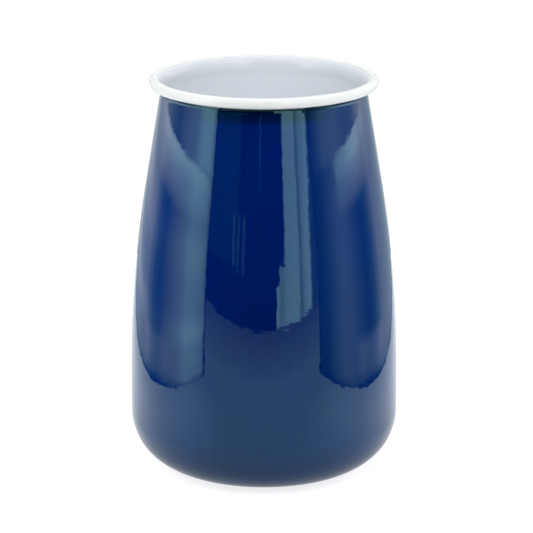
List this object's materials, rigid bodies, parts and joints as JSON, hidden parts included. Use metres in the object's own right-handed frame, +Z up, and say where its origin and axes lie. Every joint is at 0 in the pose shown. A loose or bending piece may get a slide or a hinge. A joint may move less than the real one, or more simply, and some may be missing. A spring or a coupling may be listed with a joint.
{
  "type": "milk pail",
  "caption": "Open enamelled sheet-steel milk pail: wide upright body, necked-in shoulder, rolled round rim.",
  "frame": {"origin": "on the floor, at the centre of the flat foot ring that the pail stands on", "axes": "+Z up along the pail's axis of revolution, from the foot to the mouth; X and Y are any two level directions, as the pail is round"},
  "size_m": [0.1284, 0.1284, 0.19],
  "materials": {
    "sheet_steel": "low-carbon enamelling steel, hidden under enamel on every side",
    "ground_enamel": "blue-black ground coat, glossy, seen only as a dark hairline under the rim",
    "blue_enamel": "glossy deep blue cover coat with slight orange peel",
    "white_enamel": "glossy opaque white cover coat"
  },
  "bodies": {
    "root": {"steel_body": "sheet_steel", "outer_ground_coat": "ground_enamel", "inner_ground_coat": "ground_enamel", "blue_enamel": "blue_enamel", "white_lining": "white_enamel", "rim_enamel": "white_enamel"}
  },
  "joints": []
}
